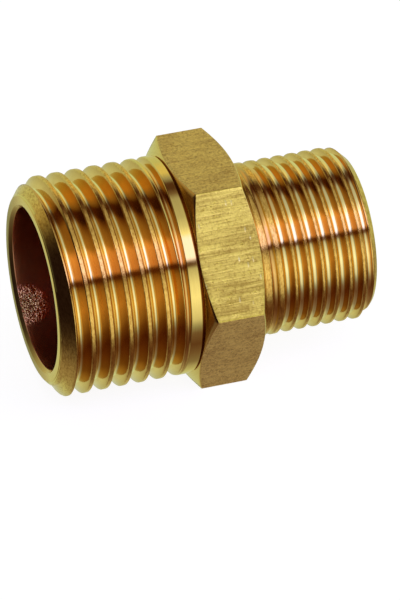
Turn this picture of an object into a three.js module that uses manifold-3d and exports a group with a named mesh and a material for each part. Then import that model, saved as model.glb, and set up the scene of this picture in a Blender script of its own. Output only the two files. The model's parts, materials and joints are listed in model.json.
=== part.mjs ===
// Brass reducing hex nipple: a larger and a smaller parallel pipe thread (1/2 inch and 3/8 inch, 55 degree
// form, right hand) with a hexagon between them and a stepped bore right through. It is one piece, turned
// and threaded from drawn hexagon bar.
//
// Millimetres. The axis is X, the larger thread is at -X, two flats of the hexagon face +Z and -Z, and the
// origin is on the axis, halfway along the part. Each solid is first made about the Y axis, with "along" as
// its height, and the finished mesh is laid down along X.

import * as THREE from "three";
import { mergeVertices } from "three/addons/utils/BufferGeometryUtils.js";
import Module from "manifold-3d";

const wasm = await Module();
wasm.setup();

// Driving dimensions

const INCH = 25.4;
const STEPS = 36; // facets round the axis
const FLANK = THREE.MathUtils.degToRad(27.5); // half of the thread's 55 degree angle

const LARGE = {
  length: 13.3, // from the tip to the hexagon's shoulder
  crestRadius: 10.36,
  pitch: INCH / 14,
  crestShare: 0.2, // of the pitch left flat on the crest
  rootShare: 0.14, // of the pitch flat at the root
  tipRadius: 8.8,
  tipLength: 1.25, // of the outer chamfer, along the axis
  fadeFrom: 1.7, // distance from the shoulder at which the groove starts to lift out
  fadeTurns: 1, // turns until it is clear of the bar
  haltFrom: 1.35, // distance from the shoulder at which it stops moving on
  crestAngle: 60, // direction in degrees in which a crest stands at crestAlong
  crestAlong: -13.07,
};

const SMALL = {
  length: 11.7,
  crestRadius: 8.22,
  pitch: INCH / 19,
  crestShare: 0.2,
  rootShare: 0.28,
  tipRadius: 7.25,
  tipLength: 0.97,
  fadeFrom: 2.8,
  fadeTurns: 1.85,
  haltFrom: 0.5,
  crestAngle: 60,
  crestAlong: 7.37,
};

const HEX = {
  acrossFlats: 20.9,
  length: 6.4, // between the shoulder planes
  cornerLength: 4.38, // of an edge between two flats
  chamfer: THREE.MathUtils.degToRad(25), // from the plane square to the axis
};

const RELIEF = { radius: 10.1, width: 0.12 }; // narrow groove between the larger thread and the hexagon

const BORE = {
  largeRadius: 7.68,
  largeDepth: 15.2, // from the large tip to the start of the conical step
  smallRadius: 5.8,
  step: THREE.MathUtils.degToRad(59), // half angle of the conical step
  largeChamfer: 0.33,
  smallChamfer: 0.3,
  overrun: 1, // of the boring solid past each end
};

// Derived places along the axis

const total = LARGE.length + HEX.length + SMALL.length;
const largeTip = -total / 2;
const smallTip = total / 2;
const largeShoulder = largeTip + LARGE.length;
const smallShoulder = smallTip - SMALL.length;
const hexCentre = (largeShoulder + smallShoulder) / 2;
const hexCornerRadius = HEX.acrossFlats / Math.sqrt(3);

// Solids from three.js geometries

function solidFrom(geometry) {
  const bare = geometry.index ? geometry.clone() : geometry;
  bare.deleteAttribute("normal");
  bare.deleteAttribute("uv");
  const merged = mergeVertices(bare, 1e-4);
  return new wasm.Manifold(
    new wasm.Mesh({
      numProp: 3,
      vertProperties: merged.attributes.position.array,
      triVerts: new Uint32Array(merged.index.array),
    }),
  );
}

function geometryFrom(solid) {
  const { vertProperties, triVerts } = solid.getMesh();
  const geometry = new THREE.BufferGeometry();
  geometry.setAttribute("position", new THREE.BufferAttribute(vertProperties, 3));
  geometry.setIndex(new THREE.BufferAttribute(triVerts, 1));
  geometry.computeVertexNormals();
  return geometry;
}

// A turned solid from [radius, along] points that start and end on the axis.
function turned(outline) {
  const points = outline.map(([radius, along]) => new THREE.Vector2(radius, along));
  return solidFrom(new THREE.LatheGeometry(points, STEPS));
}

// The turned outline before threading: both tips, the plain cylinders and the relief groove

function blank() {
  const reliefStart = largeShoulder;
  const reliefEnd = largeShoulder + RELIEF.width;
  return turned([
    [0, largeTip],
    [LARGE.tipRadius, largeTip],
    [LARGE.crestRadius, largeTip + LARGE.tipLength],
    [LARGE.crestRadius, reliefStart],
    [RELIEF.radius, reliefStart],
    [RELIEF.radius, reliefEnd],
    [RELIEF.radius, hexCentre],
    [SMALL.crestRadius, hexCentre],
    [SMALL.crestRadius, smallTip - SMALL.tipLength],
    [SMALL.tipRadius, smallTip],
    [0, smallTip],
  ]);
}

// The hexagon, its corners turned down to a cone on both sides

function hexagon() {
  const bar = new THREE.CylinderGeometry(hexCornerRadius, hexCornerRadius, 2 * HEX.length, 6);
  bar.rotateY(Math.PI / 2);
  bar.translate(0, hexCentre, 0);
  const coneEnd = HEX.length / 2;
  const cornerEnd = HEX.cornerLength / 2;
  const slope = Math.tan(HEX.chamfer);
  const outside = hexCornerRadius + 1;
  const sharpEnd = cornerEnd - slope * (outside - hexCornerRadius);
  const faceRadius = hexCornerRadius - (coneEnd - cornerEnd) / slope;
  const cones = turned([
    [0, hexCentre - coneEnd],
    [faceRadius, hexCentre - coneEnd],
    [outside, hexCentre - sharpEnd],
    [outside, hexCentre + sharpEnd],
    [faceRadius, hexCentre + coneEnd],
    [0, hexCentre + coneEnd],
  ]);
  return solidFrom(bar).intersect(cones);
}

// The cutters of one thread: a groove section carried along a right-hand helix. Near the hexagon the section
// lifts out of the bar over "fadeTurns", and past "haltFrom" it goes round without moving on. There it runs
// into the turn before, so it is a cutter of its own.

function threadCutters(end, tip, shoulder) {
  const away = Math.sign(shoulder - tip);
  const depth = (end.pitch * (1 - end.crestShare - end.rootShare)) / (2 * Math.tan(FLANK));
  const over = 0.06 * end.pitch;
  const rootHalf = (end.rootShare * end.pitch) / 2;
  const topHalf = rootHalf + (depth + over) * Math.tan(FLANK);
  const bottom = end.crestRadius - depth;
  const top = end.crestRadius + over;
  const clearLift = depth + 2 * over;

  const crestTurn = end.crestAngle / 360;
  const turnAt = (along) => (along - end.crestAlong) / end.pitch + crestTurn - 0.5;
  const startTurn = turnAt(tip) - away;
  const fadeTurn = turnAt(shoulder - away * end.fadeFrom);
  const haltTurn = turnAt(shoulder - away * end.haltFrom);
  const outTurn = fadeTurn + away * end.fadeTurns;

  const sectionAt = (turn) => {
    const moved = away > 0 ? Math.min(turn, haltTurn) : Math.max(turn, haltTurn);
    const middle = end.crestAlong + end.pitch * (moved - crestTurn + 0.5);
    const faded = Math.max(0, (away * (turn - fadeTurn)) / end.fadeTurns);
    const lift = clearLift * faded;
    return [
      [bottom + lift, middle - rootHalf],
      [bottom + lift, middle + rootHalf],
      [top + lift, middle + topHalf],
      [top + lift, middle - topHalf],
    ];
  };
  const cutter = (from, to) => {
    const firstStep = Math.floor(Math.min(from, to) * STEPS);
    const lastStep = Math.ceil(Math.max(from, to) * STEPS);
    return sweep(sectionAt, firstStep, lastStep);
  };

  const halts = away * (outTurn - haltTurn) > 0;
  if (!halts) return [cutter(startTurn, outTurn)];
  return [cutter(startTurn, haltTurn), cutter(haltTurn, outTurn)];
}

// A closed solid through one section per step round the axis, with flat ends.
function sweep(sectionAt, firstStep, lastStep) {
  const positions = [];
  for (let step = firstStep; step <= lastStep; step++) {
    const turn = step / STEPS;
    const angle = 2 * Math.PI * turn;
    for (const [radius, along] of sectionAt(turn)) {
      positions.push(radius * Math.sin(angle), along, radius * Math.cos(angle));
    }
  }
  const ringSize = sectionAt(0).length;
  const last = (lastStep - firstStep) * ringSize;
  const index = [];
  for (let ring = 0; ring < last; ring += ringSize) {
    for (let k = 0; k < ringSize; k++) {
      const a = ring + k;
      const b = ring + ((k + 1) % ringSize);
      index.push(a, b, a + ringSize, b, b + ringSize, a + ringSize);
    }
  }
  for (let k = 1; k < ringSize - 1; k++) {
    index.push(0, k + 1, k);
    index.push(last, last + k, last + k + 1);
  }
  const geometry = new THREE.BufferGeometry();
  geometry.setAttribute("position", new THREE.Float32BufferAttribute(positions, 3));
  geometry.setIndex(index);
  return solidFrom(geometry);
}

// The stepped bore: wide from the large tip into the hexagon, then a cone down to the narrow bore

function bore() {
  const coneStart = largeTip + BORE.largeDepth;
  const coneEnd = coneStart + (BORE.largeRadius - BORE.smallRadius) / Math.tan(BORE.step);
  const { overrun } = BORE;
  return turned([
    [0, largeTip - overrun],
    [BORE.largeRadius + BORE.largeChamfer + overrun, largeTip - overrun],
    [BORE.largeRadius, largeTip + BORE.largeChamfer],
    [BORE.largeRadius, coneStart],
    [BORE.smallRadius, coneEnd],
    [BORE.smallRadius, smallTip - BORE.smallChamfer],
    [BORE.smallRadius + BORE.smallChamfer + overrun, smallTip + overrun],
    [0, smallTip + overrun],
  ]);
}

// Assembly

function nippleGeometry() {
  const cutters = [
    ...threadCutters(LARGE, largeTip, largeShoulder),
    ...threadCutters(SMALL, smallTip, smallShoulder),
    bore(),
  ];
  const bar = blank().add(hexagon());
  return geometryFrom(cutters.reduce((body, cutter) => body.subtract(cutter), bar));
}

const brass = new THREE.MeshStandardMaterial({ color: 0xc9a24a, metalness: 1, roughness: 0.28 });

const nipple = new THREE.Mesh(nippleGeometry(), brass);
nipple.name = "nipple_body";
nipple.rotation.z = -Math.PI / 2;

const part = new THREE.Group();
part.add(nipple);

export default part;
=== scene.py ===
"""Brass reducing hex nipple on a pale floor: one closed mesh of the turned and threaded bar, with four
finishes of the same brass. Lengths are in millimetres until the mesh is made, and metres after that.

The axis is X. "Angle" goes round it from +Z towards -Y, and "along" is the distance along X.
"""

import json
import math

import bpy
import numpy as np
from mathutils import Euler, Matrix, Vector


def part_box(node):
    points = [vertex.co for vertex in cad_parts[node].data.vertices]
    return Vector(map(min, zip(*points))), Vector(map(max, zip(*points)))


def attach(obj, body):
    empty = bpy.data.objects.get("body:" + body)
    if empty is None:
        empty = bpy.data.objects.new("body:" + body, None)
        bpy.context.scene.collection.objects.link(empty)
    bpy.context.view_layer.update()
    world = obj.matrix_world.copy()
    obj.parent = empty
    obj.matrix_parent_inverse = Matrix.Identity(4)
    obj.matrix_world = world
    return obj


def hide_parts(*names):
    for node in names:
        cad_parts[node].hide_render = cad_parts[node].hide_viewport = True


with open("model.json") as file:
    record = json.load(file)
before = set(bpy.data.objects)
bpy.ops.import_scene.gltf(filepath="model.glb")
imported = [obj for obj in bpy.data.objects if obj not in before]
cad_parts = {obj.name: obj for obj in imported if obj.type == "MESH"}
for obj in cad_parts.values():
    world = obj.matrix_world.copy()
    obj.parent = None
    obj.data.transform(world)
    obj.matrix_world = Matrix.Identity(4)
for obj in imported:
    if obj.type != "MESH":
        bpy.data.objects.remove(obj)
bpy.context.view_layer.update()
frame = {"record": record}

MM = 0.001
INCH = 25.4

# The frame's own measures

low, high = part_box("nipple_body")
LARGE_TIP = low[0] / MM
SMALL_TIP = high[0] / MM
ACROSS_FLATS = (high[2] - low[2]) / MM
mounts = {m["name"]: m["pos_m"] for m in frame["record"]["mounts"]}
HEX_CENTRE = mounts["wrench_flat_top"][0] / MM
SMALL_SHOULDER = mounts["small_shoulder"][0] / MM
LARGE_SHOULDER = 2 * HEX_CENTRE - SMALL_SHOULDER

# Sizes of the fine surface, the same as the design's. The rounding of corners is only here, such as a
# thread's crest_edge and root_edge.

FLANK_SLOPE = 1 / math.tan(math.radians(27.5))  # radius gained per millimetre along a thread flank

LARGE = {
    "away": 1,  # the thread runs from its tip towards +X
    "tip": LARGE_TIP,
    "shoulder": LARGE_SHOULDER,
    "crest": 10.36,
    "pitch": INCH / 14,
    "root_share": 0.14,
    "tip_radius": 8.8,
    "tip_length": 1.25,
    "fade_from": 1.7,
    "fade_turns": 1.0,
    "halt_from": 1.35,
    "crest_along": -13.07,
    "crest_edge": 0.05,
    "root_edge": 0.05,
}
SMALL = {
    "away": -1,
    "tip": SMALL_TIP,
    "shoulder": SMALL_SHOULDER,
    "crest": 8.22,
    "pitch": INCH / 19,
    "root_share": 0.28,
    "tip_radius": 7.25,
    "tip_length": 0.97,
    "fade_from": 2.8,
    "fade_turns": 1.85,
    "halt_from": 0.5,
    "crest_along": 7.37,
    "crest_edge": 0.04,
    "root_edge": 0.05,
}
CREST_SHARE = 0.2
CREST_ANGLE = 60  # a crest stands at crest_along in this direction
TIP_EDGE = 0.06  # rounding between the crests and the tip's chamfer
RUN_OUT = 2.5  # from the large thread's shoulder back to where its mesh follows rings and not the helix
RIM_START = 0.07  # from a tip to where the rounding of its rim ends and the threaded surface starts
RUN_OUT_RINGS = 48
RUN_IN = 0.2  # from the small thread's shoulder to where the threaded surface starts

HEX_CORNER = ACROSS_FLATS / math.sqrt(3)
HEX_CORNER_LENGTH = 4.38
HEX_CONE = math.tan(math.radians(25))
HEX_FACE_RADIUS = 9.9
HEX_REACH = HEX_CORNER_LENGTH / 2
HEX_CORNER_EDGE = 0.12  # rounding of the bar's long edges
CREASE_EDGE = 0.025  # rounding between a flat and the cones beside it
FLAT_RINGS = 13
FLAT_STAINS = [0.8, 0.0, 1.0, 0.7, 0.2, 0.6]  # by flat, from the one that faces +Z towards -Y
CONE_SHADE_SIDE = math.radians(66)  # direction of the cone's darkest painted shade
RELIEF_RADIUS = 10.1
RELIEF_WIDTH = 0.12
RELIEF_START = LARGE_SHOULDER - 0.06  # where the rounded edge beside the relief groove is reached

BORE_LARGE = 7.68
BORE_LARGE_DEPTH = 15.2
BORE_SMALL = 5.8
BORE_STEP = math.tan(math.radians(59))
LARGE_BORE_CHAMFER = 0.33
SMALL_BORE_CHAMFER = 0.3
CHATTER_PATCH = (-14.6, 5.75, -5.05)  # where the boring tool chattered; there the ripples are also painted paler as a highlight


# The mesh's columns


def column_angles():
    """Directions of the columns, closer together at the six corners of the hexagon."""
    half_flat = 30
    near = [0.0, 0.3, 0.7, 1.4, 2.8]  # degrees from a corner
    far = list(np.linspace(near[-1], half_flat, 13)[1:])
    half = near + far
    sector = [-a for a in reversed(half[1:-1])] + half
    corners = [half_flat + 60 * k for k in range(6)]
    return np.radians(np.concatenate([[c + a for a in sector] for c in corners]))


ANGLES = column_angles()
COLUMNS = len(ANGLES)


# Smooth blends


def soft_ramp(t, edge):
    """0 below -edge, t above edge, and an arc-like blend between."""
    middle = (t + edge) ** 2 / (4 * edge)
    return np.where(t <= -edge, 0.0, np.where(t >= edge, t, middle))


def soft_min(a, b, edge):
    """The lesser of two, with a blend where they are less than "edge" apart."""
    overlap = np.maximum(edge - np.abs(a - b), 0)
    return np.minimum(a, b) - overlap**2 / (4 * edge)


# Threads


def thread_depth(end):
    return end["pitch"] * (1 - CREST_SHARE - end["root_share"]) / 2 * FLANK_SLOPE


def groove_line(end, turn):
    """Where the middle of the groove lies along the axis after that many turns."""
    return end["crest_along"] + end["pitch"] * (turn - CREST_ANGLE / 360 + 0.5)


def turn_at(end, along):
    """Turns after which the middle of the groove is at that place: the reverse of groove_line."""
    return (along - end["crest_along"]) / end["pitch"] + CREST_ANGLE / 360 - 0.5


def bar_radius(end, along):
    """The turned bar before threading: a cylinder with a chamfered tip."""
    from_tip = end["away"] * (along - end["tip"])
    slope = (end["crest"] - end["tip_radius"]) / end["tip_length"]
    cone = end["tip_radius"] + slope * from_tip
    return soft_min(cone, end["crest"], TIP_EDGE)


def depth_share(end, along, radius):
    """0 on the thread's crest and 1 at its root."""
    return np.clip((bar_radius(end, along) - radius) / thread_depth(end), 0, 1)


def threaded_radius(end, along, angle):
    """The bar with its groove cut, at places along the axis and round it."""
    away = end["away"]
    depth = thread_depth(end)
    clear = depth + 0.12 * end["pitch"]  # lift that takes the groove out of the bar
    outside = end["crest"] + 5
    turns_kept = 0.3  # past the end of the run-out
    root_half = end["root_share"] * end["pitch"] / 2
    fade_turn = turn_at(end, end["shoulder"] - away * end["fade_from"])
    halt_turn = turn_at(end, end["shoulder"] - away * end["halt_from"])
    out_turn = fade_turn + away * end["fade_turns"]
    start_turn = turn_at(end, end["tip"]) - away
    radius = bar_radius(end, along)
    first = math.floor(min(start_turn, out_turn)) - 1
    last = math.ceil(max(start_turn, out_turn)) + 1
    for whole in range(first, last + 1):
        turn = whole + angle / (2 * math.pi)
        moved = np.minimum(turn, halt_turn) if away > 0 else np.maximum(turn, halt_turn)
        lift = clear * np.maximum(0, away * (turn - fade_turn) / end["fade_turns"])
        aside = np.abs(along - groove_line(end, moved)) - root_half
        flank = soft_ramp(aside, end["root_edge"]) * FLANK_SLOPE
        floor = end["crest"] - depth + lift + flank
        floor = np.where(away * (turn - out_turn) > turns_kept, outside, floor)
        radius = soft_min(radius, floor, end["crest_edge"])
    return radius


def flat_stain(angle):
    """How browned the bar's skin is on the flat in that direction."""
    return np.take(FLAT_STAINS, np.floor(np.degrees(angle) / 60 + 0.5).astype(int) % 6)


def corner_stain(angle):
    """How much painted shade the cone beside the large thread gets: most of all on one side."""
    return np.clip(0.35 + 1.1 * np.cos(angle - CONE_SHADE_SIDE), 0, 1)


def rim_stain(angle):
    """How much painted shade the large rim gets: 0.5 all round and up to 2 on the side away from the cone's
    darkest side.
    """
    return 0.5 + 1.5 * np.clip(0.2 - 1.3 * np.cos(angle - CONE_SHADE_SIDE), 0, 1)


# Finishes, which are also the mesh's material slots

THREAD, TURNED, DRAWN, BORED = range(4)


# The mesh is a net of rings round the axis that closes on itself, outside and through the bore.


class Net:
    """Points and faces as they are added. Rows and rings hold the numbers of their points."""

    def __init__(self):
        self.points = []
        self.count = 0
        self.faces = []
        self.finishes = []
        self.cuts = []
        self.depths = []
        self.stains = []

    def add_points(self, along, radius, angle, cut, depth, stain):
        """Points of the surface; "cut" is 1 where the thread was cut and 0 on plain turning, "depth" goes
        from 0 on its crest to 1 at its root, and the last is how brown the surface is: real browning on
        the hexagon's flats and painted shade on the large cone and rim."""
        measures = np.broadcast_arrays(along, radius, angle, cut, depth, stain)
        along, radius, angle, cut, depth, stain = measures
        places = np.stack([along, -radius * np.sin(angle), radius * np.cos(angle)], axis=-1)
        self.points.append(places.reshape(-1, 3))
        self.cuts.append(cut.reshape(-1))
        self.depths.append(depth.reshape(-1))
        self.stains.append(stain.reshape(-1))
        start = self.count
        self.count += along.size
        return np.arange(start, self.count).reshape(along.shape)

    def ring(self, along, radius, cut=0.0, depth=0.0, stain=0.0):
        return self.add_points(along, radius, ANGLES, cut, depth, stain)

    def band(self, a, b, finish):
        """Quads between two rings."""
        self.quads(a, b, np.roll(b, -1), np.roll(a, -1), finish)

    def next_ring(self, ring, along, radius, finish, cut=0.0, depth=0.0, stain=0.0):
        """A new ring, joined to the one before it."""
        new = self.ring(along, radius, cut, depth, stain)
        self.band(ring, new, finish)
        return new

    def turning(self, ring, outline):
        """Plain turning along an outline that starts at the ring."""
        for along, radius in outline[1:]:
            ring = self.next_ring(ring, along, radius, TURNED)
        return ring

    def quads(self, a, b, c, d, finish):
        made = np.stack([a, b, c, d], axis=-1).reshape(-1, 4)
        self.faces.append(made)
        self.finishes.append(np.full(len(made), finish))


def row_offsets(end):
    """Distances from the groove's middle at which the mesh has a row, over one pitch."""
    root = end["root_share"] * end["pitch"] / 2
    corner = (1 - CREST_SHARE) * end["pitch"] / 2
    edge = 0.035
    crest_middle = end["pitch"] / 2
    half = [root * 0.6, root, root + edge, (root + corner) / 2, corner - 2 * edge, corner - edge / 2]
    half += [corner + edge / 2, corner + 2 * edge]
    return np.array([-d for d in reversed(half)] + [0.0] + half + [crest_middle])


def helical_net(net, end, start, stop, first_ring, last_ring, finish):
    """The threaded surface between two rings, in rows that follow the helix. Points past a ring, or closer
    to it than the gap, are the ring's own."""
    offsets = row_offsets(end)
    rows = len(offsets)
    turns_low = math.floor(turn_at(end, start)) - 2
    turns_high = math.ceil(turn_at(end, stop)) + 2
    whole = np.repeat(np.arange(turns_low, turns_high), rows)
    offset = np.tile(offsets, turns_high - turns_low)
    turn = whole[:, None] + ANGLES[None, :] / (2 * math.pi)
    along = groove_line(end, turn) + offset[:, None]
    gap = 0.012
    inside = (along > start + gap) & (along < stop - gap)
    ids = np.where(along <= start + gap, first_ring[None, :], last_ring[None, :])
    angle = np.broadcast_to(ANGLES[None, :], along.shape)
    radius = threaded_radius(end, along[inside], angle[inside])
    depth = depth_share(end, along[inside], radius)
    ids[inside] = net.add_points(along[inside], radius, angle[inside], 1.0, depth, 0.0)

    here = ids[:-1]
    above = ids[1:]
    # The last column meets the first one a whole pitch further on.
    wrapped = np.full_like(ids, 0)
    wrapped[:, :-1] = ids[:, 1:]
    wrapped[:-rows, -1] = ids[rows:, 0]
    wrapped[-rows:, -1] = last_ring[0]
    net.quads(here, above, wrapped[1:], wrapped[:-1], finish)


def fillet(points):
    """An outline of (along, radius, rounding) with each rounded corner as a curve of a few steps."""
    steps = 3
    out = []
    for i, (x, r, rounding) in enumerate(points):
        if rounding == 0 or i in (0, len(points) - 1):
            out.append((x, r))
            continue
        corner = np.array([x, r])
        before = np.array(points[i - 1][:2]) - corner
        after = np.array(points[i + 1][:2]) - corner
        before = before / np.linalg.norm(before)
        after = after / np.linalg.norm(after)
        for t in np.linspace(0, 1, steps + 1):
            pull = before * (1 - t) ** 2 + after * t**2
            out.append(tuple(corner + rounding * pull))
    return out


def hexagon_radius(angle):
    """Distance from the axis to the hexagon's flats, its long edges rounded."""
    least = 0.2  # flats that face the direction less than this don't count
    far = 99.0
    facing = np.array([np.cos(angle - math.radians(60 * k)) for k in range(6)])
    flats = np.where(facing > least, ACROSS_FLATS / 2 / np.maximum(facing, least), far)
    nearest = np.sort(flats, axis=0)
    return soft_min(nearest[0], nearest[1], HEX_CORNER_EDGE)


def cone_along(radius, side):
    """Where the cone on that side of the hexagon has the given radius."""
    return HEX_CENTRE + side * (HEX_REACH + (HEX_CORNER - radius) * HEX_CONE)


def inside_tip(end):
    """Place and radius on the chamfer of a tip, where the threaded surface starts."""
    slope = (end["crest"] - end["tip_radius"]) / end["tip_length"]
    return end["tip"] + end["away"] * RIM_START, end["tip_radius"] + slope * RIM_START


def add_large_end(net, first):
    """From the large tip's first ring to the relief groove beside the hexagon."""
    start = inside_tip(LARGE)[0]
    run_out = LARGE_SHOULDER - RUN_OUT
    radius = threaded_radius(LARGE, np.full(COLUMNS, run_out), ANGLES)
    ring = net.ring(run_out, radius, 1.0, depth_share(LARGE, run_out, radius))
    helical_net(net, LARGE, start, run_out, first, ring, THREAD)
    for along in np.linspace(run_out, RELIEF_START, RUN_OUT_RINGS)[1:]:
        radius = threaded_radius(LARGE, np.full(COLUMNS, along), ANGLES)
        depth = depth_share(LARGE, along, radius)
        cut = np.clip(depth * 10, 0, 1)  # in full from a tenth of the depth on
        ring = net.next_ring(ring, along, radius, THREAD, cut, depth)
    relief = [
        (RELIEF_START, LARGE["crest"], 0),
        (LARGE_SHOULDER, LARGE["crest"], 0.05),
        (LARGE_SHOULDER, RELIEF_RADIUS, 0.04),
        (LARGE_SHOULDER + RELIEF_WIDTH, RELIEF_RADIUS, 0),
    ]
    return net.turning(ring, fillet(relief))


def add_hexagon(net, ring):
    """The larger side's cone, the flats from crease to crease, and the smaller side's cone."""
    flat = hexagon_radius(ANGLES)
    top = flat - CREASE_EDGE * 0.5
    low_end = cone_along(RELIEF_RADIUS, -1)
    for share in (0.15, 0.4, 0.7, 1.0):
        radius = RELIEF_RADIUS + (top - RELIEF_RADIUS) * share
        along = np.maximum(cone_along(radius, -1), low_end)
        # painted shade on the cone beside the large thread
        ring = net.next_ring(ring, along, radius, TURNED, stain=corner_stain(ANGLES))
    left = cone_along(flat, -1)
    right = cone_along(flat, 1)
    for share in np.linspace(0, 1, FLAT_RINGS):
        along = left + CREASE_EDGE + (right - left - 2 * CREASE_EDGE) * share
        ring = net.next_ring(ring, along, flat, DRAWN, stain=flat_stain(ANGLES))
    for share in (1.0, 0.7, 0.4, 0.0):
        radius = HEX_FACE_RADIUS + (top - HEX_FACE_RADIUS) * share
        ring = net.next_ring(ring, cone_along(radius, 1), radius, TURNED)
    return ring


def add_small_end(net, ring):
    """The flat shoulder, the corner at the thread and the small thread."""
    run_in = SMALL_SHOULDER + RUN_IN
    shoulder = [
        (SMALL_SHOULDER, HEX_FACE_RADIUS, 0),
        (SMALL_SHOULDER, SMALL["crest"], 0.15),
        (run_in, SMALL["crest"], 0),
    ]
    ring = net.turning(ring, fillet(shoulder))
    stop, radius = inside_tip(SMALL)
    last = net.ring(stop, radius)
    helical_net(net, SMALL, run_in, stop, ring, last, THREAD)
    return last


def add_rims_and_bore(net, ring):
    """Round the small rim, through the bore and out over the large rim."""
    step_end = LARGE_TIP + BORE_LARGE_DEPTH
    step_start = step_end + (BORE_LARGE - BORE_SMALL) / BORE_STEP
    outline = fillet(
        [
            (*inside_tip(SMALL), 0),
            (SMALL_TIP, SMALL["tip_radius"], 0.06),
            (SMALL_TIP, BORE_SMALL + SMALL_BORE_CHAMFER, 0.03),
            (SMALL_TIP - SMALL_BORE_CHAMFER, BORE_SMALL, 0.05),
            (step_start, BORE_SMALL, 0.1),
            (step_end, BORE_LARGE, 0.2),
            (LARGE_TIP + LARGE_BORE_CHAMFER, BORE_LARGE, 0.05),
            (LARGE_TIP, BORE_LARGE + LARGE_BORE_CHAMFER, 0.03),
            (LARGE_TIP, LARGE["tip_radius"], 0.06),
            (inside_tip(LARGE)[0], LARGE["tip_radius"], 0),
        ]
    )
    longest = 0.8  # between rings
    slack = 0.02  # on a bore's radius
    for (x0, r0), (x1, r1) in zip(outline[:-2], outline[1:-1]):
        rings = max(1, round(abs(x1 - x0) / longest))
        for share in np.linspace(0, 1, rings + 1)[1:]:
            along = x0 + (x1 - x0) * share
            radius = r0 + (r1 - r0) * share
            at_small_rim = along > SMALL_TIP - 1 and radius > BORE_SMALL + slack
            inside_bore = radius < BORE_LARGE + slack and not at_small_rim
            at_large_rim = not inside_bore and along < 0
            finish = BORED if inside_bore else TURNED
            # painted shade on the large rim
            stain = rim_stain(ANGLES) if at_large_rim else 0.0
            ring = net.next_ring(ring, along, radius, finish, stain=stain)
    return ring


def build_net():
    net = Net()
    first = net.ring(*inside_tip(LARGE))
    ring = add_large_end(net, first)
    ring = add_hexagon(net, ring)
    ring = add_small_end(net, ring)
    ring = add_rims_and_bore(net, ring)
    net.band(ring, first, TURNED)
    return net


def mesh_from(net):
    """The net as a mesh, without faces that have shrunk to a line and corners that have met."""
    points = np.concatenate(net.points) * MM
    faces = np.concatenate(net.faces)
    finishes = np.concatenate(net.finishes)
    shares = {"cut": net.cuts, "depth": net.depths, "stain": net.stains}
    polygons = []
    slots = []
    for corners, finish in zip(faces.tolist(), finishes.tolist()):
        kept = [c for i, c in enumerate(corners) if c != corners[i - 1]]
        if len(set(kept)) < 3:
            continue
        polygons.append(kept)
        slots.append(finish)
    mesh = bpy.data.meshes.new("nipple")
    mesh.from_pydata(points.tolist(), [], polygons)
    mesh.polygons.foreach_set("material_index", np.array(slots, dtype=np.int32))
    mesh.polygons.foreach_set("use_smooth", np.ones(len(polygons), dtype=bool))
    for name, values in shares.items():
        attribute = mesh.attributes.new(name, "FLOAT", "POINT")
        attribute.data.foreach_set("value", np.concatenate(values).astype(np.float32))
    mesh.update()
    mesh.validate()
    return mesh


# Materials. A pair such as BRASS and BRASS_DARK is what a noise blends between.

BRASS = (0.90, 0.69, 0.19, 1.0)
BRASS_DARK = (0.62, 0.42, 0.10, 1.0)
CUT_BRASS = (0.90, 0.57, 0.17, 1.0)  # the thread's flanks and roots
CUT_BRASS_DARK = (0.60, 0.33, 0.08, 1.0)
CREST_BRASS = (0.86, 0.55, 0.13, 1.0)
CREST_BRASS_DARK = (0.50, 0.26, 0.04, 1.0)
# painted highlight: the thread's roots are coloured paler, for their bright lines
ROOT_HIGHLIGHT_BRASS = (0.98, 0.84, 0.36, 1.0)
DRAWN_BRASS = (1.0, 0.85, 0.14, 1.0)
DRAWN_BRASS_DARK = (0.48, 0.34, 0.05, 1.0)
STAINED_BRASS = (0.93, 0.68, 0.22, 1.0)
STAINED_BRASS_DARK = (0.50, 0.28, 0.08, 1.0)
# painted glint: the pale colour of nicks on clean flats
DRAWN_BRASS_GLINT = (1.0, 0.92, 0.34, 1.0)
BORE_BRASS = (0.86, 0.42, 0.20, 1.0)
BORE_BRASS_DARK = (0.70, 0.31, 0.16, 1.0)
# painted highlight: the pale half of the chatter ripples
CHATTER_HIGHLIGHT_BRASS = (1.0, 0.78, 0.38, 1.0)
CHATTER_DARK = (0.34, 0.12, 0.05, 1.0)
FAR_FLANK_SHADE_BRASS = (0.62, 0.34, 0.08, 1.0)  # painted shade: flanks that face +X are coloured darker
SHADED_TURNED_BRASS = (0.80, 0.38, 0.08, 1.0)  # painted shade on turned brass, on the large cone and rim
DEEP_SHADED_BRASS = (0.36, 0.25, 0.08, 1.0)  # and deeper painted shade, on the large rim's far side
CORNER_PAINTED_SHADE = (0.30, 0.13, 0.03, 1.0)  # painted shade in the corner beside the hexagon
CORNER_FADE = (-0.01, 0.04, 0.16)  # where that painted shade starts, is full and has faded, from the large shoulder
EDGE_TINT = (1.0, 0.95, 0.66, 1.0)  # brass keeps some of its colour at grazing angles


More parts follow.
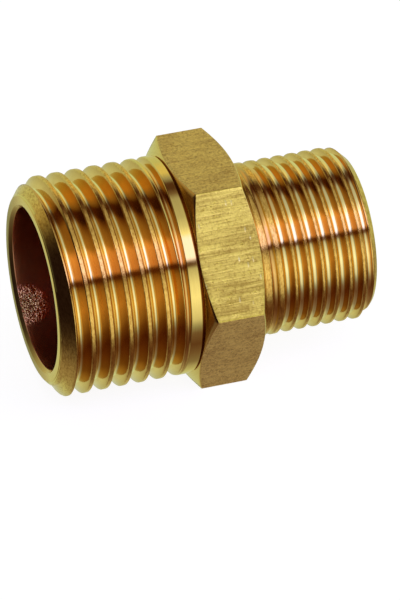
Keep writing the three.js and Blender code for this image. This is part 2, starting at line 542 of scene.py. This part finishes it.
class Nodes:
    """A short way to write a material's node tree."""

    def __init__(self, name):
        self.material = bpy.data.materials.new(name)
        self.material.use_nodes = True
        self.tree = self.material.node_tree
        self.shader = self.tree.nodes["Principled BSDF"]
        coordinates = self.add("TexCoord")
        self.place = coordinates.outputs["Object"]
        self.facing = coordinates.outputs["Normal"]

    def add(self, kind, **settings):
        node = self.tree.nodes.new("ShaderNode" + kind)
        for name, value in settings.items():
            setattr(node, name, value)
        return node

    def link(self, source, target):
        self.tree.links.new(source, target)

    def stretched(self, scale):
        """Object coordinates, with the given number of features per millimetre along X, Y and Z."""
        mapping = self.add("Mapping")
        mapping.inputs["Scale"].default_value = [s / MM for s in scale]
        self.link(self.place, mapping.inputs["Vector"])
        return mapping.outputs["Vector"]

    def noise(self, scale, detail=3.0, roughness=0.6, distortion=0.0):
        node = self.add("TexNoise")
        node.inputs["Scale"].default_value = 1.0
        node.inputs["Detail"].default_value = detail
        node.inputs["Roughness"].default_value = roughness
        node.inputs["Distortion"].default_value = distortion
        self.link(self.stretched(scale), node.inputs["Vector"])
        return node.outputs["Fac"]

    def specks(self, scale, reach):
        """1 in the middle of scattered spots and 0 outside them."""
        node = self.add("TexVoronoi")
        node.inputs["Scale"].default_value = 1.0
        self.link(self.stretched(scale), node.inputs["Vector"])
        return self.span(node.outputs["Distance"], reach, reach * 0.4, 0.0, 1.0)

    def part(self, vector, axis):
        node = self.add("SeparateXYZ")
        self.link(vector, node.inputs[0])
        return node.outputs[axis]

    def attribute(self, name):
        return self.add("Attribute", attribute_name=name).outputs["Fac"]

    def nearness(self, centre, inner, outer):
        """1 within "inner" millimetres of a place and 0 beyond "outer"."""
        node = self.add("VectorMath", operation="DISTANCE")
        node.inputs[1].default_value = [c * MM for c in centre]
        self.link(self.place, node.inputs[0])
        return self.span(node.outputs["Value"], inner * MM, outer * MM, 1.0, 0.0)

    def span(self, value, low_in, high_in, low_out, high_out):
        node = self.add("MapRange")
        node.inputs["From Min"].default_value = low_in
        node.inputs["From Max"].default_value = high_in
        node.inputs["To Min"].default_value = low_out
        node.inputs["To Max"].default_value = high_out
        self.link(value, node.inputs["Value"])
        return node.outputs["Result"]

    def math(self, operation, a, b):
        node = self.add("Math", operation=operation)
        for value, socket in zip((a, b), node.inputs):
            if isinstance(value, (int, float)):
                socket.default_value = value
            else:
                self.link(value, socket)
        return node.outputs[0]

    def blend(self, share, a, b):
        node = self.add("Mix", data_type="RGBA")
        for value, name in ((share, "Factor_Float"), (a, "A_Color"), (b, "B_Color")):
            socket = next(i for i in node.inputs if i.identifier == name)
            if isinstance(value, (tuple, float)):
                socket.default_value = value
            else:
                self.link(value, socket)
        return next(o for o in node.outputs if o.identifier == "Result_Color")

    def bump(self, height, distance, under=None):
        """A bump of "distance" millimetres for a height that goes from 0 to 1."""
        node = self.add("Bump")
        node.inputs["Strength"].default_value = 1.0
        node.inputs["Distance"].default_value = distance * MM
        self.link(height, node.inputs["Height"])
        if under is not None:
            self.link(under, node.inputs["Normal"])
        return node.outputs["Normal"]

    def finish(self, color, roughness, normal):
        """Joins up the shader. The material is metal; a link to Metallic made before this stays."""
        self.shader.inputs["Metallic"].default_value = 1.0
        self.shader.inputs["Specular Tint"].default_value = EDGE_TINT
        self.link(color, self.shader.inputs["Base Color"])
        self.link(roughness, self.shader.inputs["Roughness"])
        self.link(normal, self.shader.inputs["Normal"])
        return self.material


def thread_finish():
    made = Nodes("brass_thread")
    cut = made.attribute("cut")
    depth = made.attribute("depth")
    # painted shade: flanks whose normal points towards +X are darkened
    far_flank_shade = made.span(made.part(made.facing, "X"), 0.3, 0.7, 0.0, 1.0)
    crest = made.math("MULTIPLY", made.span(depth, 0.02, 0.16, 1.0, 0.0), cut)
    lines = made.noise((14, 0.5, 0.5))
    patches = made.noise((0.9, 0.45, 0.45), detail=4)
    torn = made.noise((7, 2.2, 2.2), detail=5, roughness=0.7)
    plain = made.blend(made.span(lines, 0.3, 0.8, 0.0, 0.3), BRASS, BRASS_DARK)
    fresh = made.blend(made.span(patches, 0.45, 0.8, 0.0, 0.5), CUT_BRASS, CUT_BRASS_DARK)
    fresh = made.blend(made.span(depth, 0.08, 0.6, 0.75, 0.0), fresh, CUT_BRASS_DARK)
    # painted highlight: a paler colour at the bottom of the groove
    fresh = made.blend(made.span(depth, 0.85, 0.95, 0.0, 0.9), fresh, ROOT_HIGHLIGHT_BRASS)
    fresh = made.blend(far_flank_shade, fresh, FAR_FLANK_SHADE_BRASS)
    worn = made.blend(made.span(torn, 0.42, 0.66, 0.0, 0.95), CREST_BRASS, CREST_BRASS_DARK)
    color = made.blend(crest, made.blend(cut, plain, fresh), worn)
    roughness = made.span(patches, 0.3, 0.7, 0.05, 0.10)
    roughness = made.math("ADD", roughness, made.math("MULTIPLY", crest, 0.05))
    normal = made.bump(lines, 0.0016)
    normal = made.bump(made.math("MULTIPLY", torn, crest), 0.014, under=normal)
    return made.finish(color, roughness, normal)


def turned_finish():
    made = Nodes("brass_turned")
    lines = made.noise((16, 0.3, 0.3))
    patches = made.noise((0.7, 0.7, 0.7), detail=4)
    stain = made.attribute("stain")
    color = made.blend(made.span(lines, 0.3, 0.9, 0.0, 0.5), BRASS, BRASS_DARK)
    # painted shade: the large cone and rim are darkened by their stain values
    color = made.blend(made.span(stain, 0.0, 1.0, 0.0, 0.8), color, SHADED_TURNED_BRASS)
    # deeper painted shade on the large rim's far side
    color = made.blend(made.span(stain, 0.5, 2.0, 0.0, 0.9), color, DEEP_SHADED_BRASS)
    along = made.part(made.place, "X")
    # painted shade: darker in the relief groove between the large thread and the hexagon
    starts, full, faded = ((LARGE_SHOULDER + place) * MM for place in CORNER_FADE)
    corner = made.span(along, full, faded, 1.0, 0.0)
    corner = made.math("MULTIPLY", corner, made.math("GREATER_THAN", along, starts))
    color = made.blend(corner, color, CORNER_PAINTED_SHADE)
    roughness = made.span(patches, 0.3, 0.7, 0.09, 0.16)
    roughness = made.math("ADD", roughness, made.math("MULTIPLY", stain, 0.12))
    normal = made.bump(lines, 0.002)
    return made.finish(color, roughness, normal)


def drawn_finish():
    made = Nodes("brass_drawn")
    fine = made.noise((0.3, 8, 8), detail=3)
    broad = made.noise((0.12, 2.2, 2.2), detail=3)
    patches = made.noise((0.3, 0.3, 0.3), detail=5, roughness=0.65)
    grit = made.noise((4, 4, 4), detail=4, roughness=0.75)
    nicks = made.specks((1.5, 0.5, 0.5), 0.17)
    pits = made.specks((1.7, 1.7, 1.7), 0.2)
    scuffs = made.noise((2.6, 3.4, 3.4), detail=4, roughness=0.75, distortion=1.6)
    stain = made.attribute("stain")
    clean = made.math("SUBTRACT", 1.0, stain)
    worn = made.span(patches, 0.45, 0.75, 0.0, 0.4)
    wear = made.math("ADD", worn, made.span(grit, 0.48, 0.66, -0.1, 0.45))
    wear = made.math("ADD", wear, made.math("MULTIPLY", pits, made.span(grit, 0.4, 0.6, 0.0, 0.6)))
    fine_lines = made.span(fine, 0.4, 0.7, 0.0, 0.6)
    lines = made.math("ADD", fine_lines, made.span(broad, 0.42, 0.68, 0.0, 0.5))
    faint_lines = made.math("MULTIPLY", lines, 0.3)
    scuffed = made.math("ADD", faint_lines, made.span(scuffs, 0.48, 0.66, 0.0, 0.9))
    color = made.blend(made.math("ADD", wear, lines), DRAWN_BRASS, DRAWN_BRASS_DARK)
    browned = made.blend(made.math("ADD", wear, scuffed), STAINED_BRASS, STAINED_BRASS_DARK)
    color = made.blend(stain, color, browned)
    nicks = made.math("MULTIPLY", nicks, clean)
    # nicks are dented by the bump below, and on clean flats painted paler as glints
    nick_glints = made.math("MULTIPLY", nicks, made.span(grit, 0.4, 0.6, 0.2, 1.0))
    color = made.blend(nick_glints, color, DRAWN_BRASS_GLINT)
    roughness = made.span(fine, 0.3, 0.7, 0.28, 0.38)
    roughness = made.math("ADD", roughness, made.span(grit, 0.4, 0.8, 0.0, 0.1))
    roughness = made.math("ADD", roughness, made.math("MULTIPLY", stain, 0.08))
    under_stain = made.span(stain, 0.0, 1.0, 1.0, 0.4)
    normal = made.bump(made.math("MULTIPLY", fine, under_stain), 0.008)
    normal = made.bump(made.math("MULTIPLY", broad, under_stain), 0.02, under=normal)
    normal = made.bump(made.math("MULTIPLY", scuffs, stain), 0.03, under=normal)
    normal = made.bump(grit, 0.02, under=normal)
    normal = made.bump(made.math("ADD", nicks, pits), -0.02, under=normal)
    made.link(made.span(stain, 0.0, 1.0, 1.0, 0.88), made.shader.inputs["Metallic"])
    return made.finish(color, roughness, normal)


def bored_finish():
    made = Nodes("brass_bored")
    chatter = made.noise((5, 5.5, 5.5), detail=0.5, roughness=0.5, distortion=1.0)
    rings = made.noise((8, 0.4, 0.4))
    patches = made.noise((0.5, 0.5, 0.5), detail=4)
    patch = made.nearness(CHATTER_PATCH, 0.7, 2.1)
    color = made.blend(made.span(patches, 0.3, 0.7, 0.0, 1.0), BORE_BRASS, BORE_BRASS_DARK)
    # real chatter ripples, with their pale colour in this one patch a painted highlight
    ripples = made.blend(made.span(chatter, 0.44, 0.58, 0.0, 1.0), CHATTER_DARK, CHATTER_HIGHLIGHT_BRASS)
    color = made.blend(patch, color, ripples)
    roughness = made.span(patches, 0.3, 0.7, 0.20, 0.26)
    roughness = made.math("SUBTRACT", roughness, made.math("MULTIPLY", patch, 0.13))
    normal = made.bump(rings, 0.003)
    height = made.math("MULTIPLY", chatter, made.span(patch, 0.0, 1.0, 0.03, 1.0))
    normal = made.bump(height, 0.17, under=normal)
    return made.finish(color, roughness, normal)


def finishes():
    """The materials in the order of the slots."""
    return [thread_finish(), turned_finish(), drawn_finish(), bored_finish()]


# Studio: the light round the part's axis, as (degrees from -Y towards +Z, brightness or colour).
# MIDDLE_LIGHT is what the part's plain surfaces mirror, END_LIGHT is to the left and right of it, LEFT_LIGHT
# is further left, and the far left end is dark.

KEY = (1.5, 1.4, 2.9)
SOFT_KEY = (1.1, 0.98, 1.9)
BACK = (0.60, 0.66, 0.53)
END_BACK = (0.60, 0.74, 0.68)
SKY_EDGE = (0.78, 0.69, 0.42)
KEY_LEFT = (-0.05, 0.15)  # the middle light fades in between these values of a direction's X
KEY_RIGHT = (0.35, 0.60)  # and out between these
LEFT_FADE = (-0.75, -0.45)
FAR_END_FADE = (-0.97, -0.55)
MIDDLE_LIGHT = [
    (-180, BACK),
    (-124, BACK),
    (-108, 0.45),
    (-97, 0.26),
    (-80, 0.19),
    (-66, 0.13),
    (-50, 0.19),
    (-42, 0.34),
    (-34, 0.74),
    (-25, 0.90),
    (-8, 1.18),
    (6, 1.0),
    (22, 0.60),
    (25.5, 0.15),
    (29, 0.15),
    (33, KEY),
    (54, KEY),
    (59, 1.2),
    (67, 0.80),
    (78, 0.55),
    (100, 0.45),
    (107, 0.20),
    (114, 0.09),
    (122, 0.10),
    (130, 0.38),
    (140, SKY_EDGE),
    (150, SKY_EDGE),
    (166, BACK),
    (180, BACK),
]
END_LIGHT = [
    (-180, END_BACK),
    (-130, END_BACK),
    (-116, 0.40),
    (-100, 0.26),
    (-80, 0.17),
    (-60, 0.11),
    (-44, 0.24),
    (-30, 0.48),
    (-10, 0.84),
    (5, 0.72),
    (16, 0.48),
    (25, 0.13),
    (30, 0.13),
    (35, SOFT_KEY),
    (62, (1.4, 1.3, 1.9)),
    (72, 0.62),
    (90, 0.42),
    (102, 0.22),
    (109, 0.05),
    (124, 0.06),
    (132, 0.34),
    (142, 0.52),
    (160, END_BACK),
    (180, END_BACK),
]
LEFT_LIGHT = [
    (-180, BACK),
    (-125, BACK),
    (-110, 0.40),
    (-90, 0.24),
    (-60, 0.10),
    (0, 0.08),
    (70, 0.08),
    (100, 0.07),
    (128, 0.20),
    (144, SKY_EDGE),
    (180, BACK),
]
FAR_END_DARK = (0.020, 0.012, 0.018, 1.0)
PALE = (1.0, 1.0, 1.0, 1.0)
BRIGHTEST = 3.0  # the world's colours are shares of this
BROWN = (1.0, 0.45, 0.30)
BROWN_BELOW = 0.12  # a level of light up to this is brown
BROWN_FADE = 0.2  # and one higher than that by this is white


def warm(level):
    """A colour for a level of light: the dim parts of the studio are brown."""
    if isinstance(level, tuple):
        return level
    share = min(max((level - BROWN_BELOW) / BROWN_FADE, 0), 1)
    return tuple(level * (b + (1 - b) * share) for b in BROWN)


def studio_light():
    """The world: bands of light for what the part mirrors, and a plain pale backdrop for the camera."""
    world = bpy.data.worlds.new("studio")
    bpy.context.scene.world = world
    world.use_nodes = True
    tree = world.node_tree
    nodes, links = tree.nodes, tree.links
    background = nodes["Background"]

    where = nodes.new("ShaderNodeTexCoord")
    split = nodes.new("ShaderNodeSeparateXYZ")
    links.new(where.outputs["Generated"], split.inputs[0])
    front = nodes.new("ShaderNodeMath")
    front.operation = "MULTIPLY"
    front.inputs[1].default_value = -1
    links.new(split.outputs["Y"], front.inputs[0])
    angle = nodes.new("ShaderNodeMath")
    angle.operation = "ARCTAN2"
    links.new(split.outputs["Z"], angle.inputs[0])
    links.new(front.outputs[0], angle.inputs[1])
    share = nodes.new("ShaderNodeMapRange")
    share.inputs["From Min"].default_value = -math.pi
    share.inputs["From Max"].default_value = math.pi
    links.new(angle.outputs[0], share.inputs["Value"])

    def bands(levels):
        ramp = nodes.new("ShaderNodeValToRGB")
        stops = ramp.color_ramp.elements
        while len(stops) < len(levels):
            stops.new(0.5)
        for stop, (degrees, level) in zip(stops, levels):
            stop.position = (degrees + 180) / 360
            stop.color = [channel / BRIGHTEST for channel in warm(level)] + [1]
        links.new(share.outputs["Result"], ramp.inputs["Fac"])
        return ramp.outputs["Color"]

    def across(start, end):
        """A soft step along X."""
        step = nodes.new("ShaderNodeMapRange")
        step.interpolation_type = "SMOOTHSTEP"
        step.inputs["From Min"].default_value = start
        step.inputs["From Max"].default_value = end
        links.new(split.outputs["X"], step.inputs["Value"])
        return step.outputs["Result"]

    def blend(share, a, b):
        mix = nodes.new("ShaderNodeMix")
        mix.data_type = "RGBA"
        sockets = {i.identifier: i for i in mix.inputs}
        links.new(share, sockets["Factor_Float"])
        for value, name in ((a, "A_Color"), (b, "B_Color")):
            if isinstance(value, tuple):
                sockets[name].default_value = [v / BRIGHTEST for v in value[:3]] + [1]
            else:
                links.new(value, sockets[name])
        return next(o for o in mix.outputs if o.identifier == "Result_Color")

    middle, end = bands(MIDDLE_LIGHT), bands(END_LIGHT)
    light = blend(across(*KEY_LEFT), end, blend(across(*KEY_RIGHT), middle, end))
    light = blend(across(*LEFT_FADE), bands(LEFT_LIGHT), light)
    light = blend(across(*FAR_END_FADE), FAR_END_DARK, light)
    links.new(light, background.inputs["Color"])
    background.inputs["Strength"].default_value = BRIGHTEST

    pale = nodes.new("ShaderNodeBackground")
    pale.inputs["Color"].default_value = PALE
    pale.inputs["Strength"].default_value = 1.0
    path = nodes.new("ShaderNodeLightPath")
    mix = nodes.new("ShaderNodeMixShader")
    links.new(path.outputs["Is Camera Ray"], mix.inputs["Fac"])
    links.new(background.outputs[0], mix.inputs[1])
    links.new(pale.outputs[0], mix.inputs[2])
    links.new(mix.outputs[0], nodes["World Output"].inputs["Surface"])


FLOOR_REACH = 3.0  # metres
FLOOR_GREY = (0.2, 0.2, 0.2, 1.0)
FLOOR_GLOW = 0.92


def pale_floor():
    """A floor under the part, almost white by its own glow, which the part doesn't mirror."""
    height = low[2]
    mesh = bpy.data.meshes.new("floor")
    signs = [(-1, -1), (1, -1), (1, 1), (-1, 1)]
    corners = [(x * FLOOR_REACH, y * FLOOR_REACH, height) for x, y in signs]
    mesh.from_pydata(corners, [], [(0, 1, 2, 3)])
    floor = bpy.data.objects.new("floor", mesh)
    bpy.context.collection.objects.link(floor)
    made = Nodes("floor_white")
    made.shader.inputs["Base Color"].default_value = FLOOR_GREY
    made.shader.inputs["Roughness"].default_value = 1.0
    made.shader.inputs["Specular IOR Level"].default_value = 0.0
    made.shader.inputs["Emission Color"].default_value = PALE
    made.shader.inputs["Emission Strength"].default_value = FLOOR_GLOW
    mesh.materials.append(made.material)
    floor.visible_glossy = False


# Camera, fitted to the photograph

VIEW_AZIMUTH = math.radians(16.98)  # looking along +Y, turned towards +X
VIEW_ELEVATION = math.radians(30.36)
VIEW_ROLL = math.radians(-1.80)
VIEW_DISTANCE = 539.53  # millimetres, as the target is
VIEW_TARGET = (-0.075, -1.987, -3.282)
LENS = 345.5
SENSOR_WIDTH = 36
NEAREST = 0.01  # metres


def camera():
    data = bpy.data.cameras.new("camera")
    data.lens = LENS
    data.sensor_width = SENSOR_WIDTH
    data.clip_start = NEAREST
    obj = bpy.data.objects.new("camera", data)
    bpy.context.collection.objects.link(obj)
    bpy.context.scene.camera = obj

    turn = Euler((math.pi / 2 - VIEW_ELEVATION, 0, -VIEW_AZIMUTH)).to_matrix().to_4x4()
    roll = Matrix.Rotation(VIEW_ROLL, 4, "Z")
    back = turn @ Vector((0, 0, VIEW_DISTANCE))
    place = Matrix.Translation((Vector(VIEW_TARGET) + back) * MM)
    obj.matrix_world = place @ turn @ roll


def nipple():
    """The one piece of the object."""
    mesh = mesh_from(build_net())
    obj = bpy.data.objects.new("nipple", mesh)
    bpy.context.collection.objects.link(obj)
    for material in finishes():
        mesh.materials.append(material)
    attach(obj, "root")
    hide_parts("nipple_body")


nipple()
pale_floor()
studio_light()
camera()
bpy.context.scene.view_settings.view_transform = "Standard"
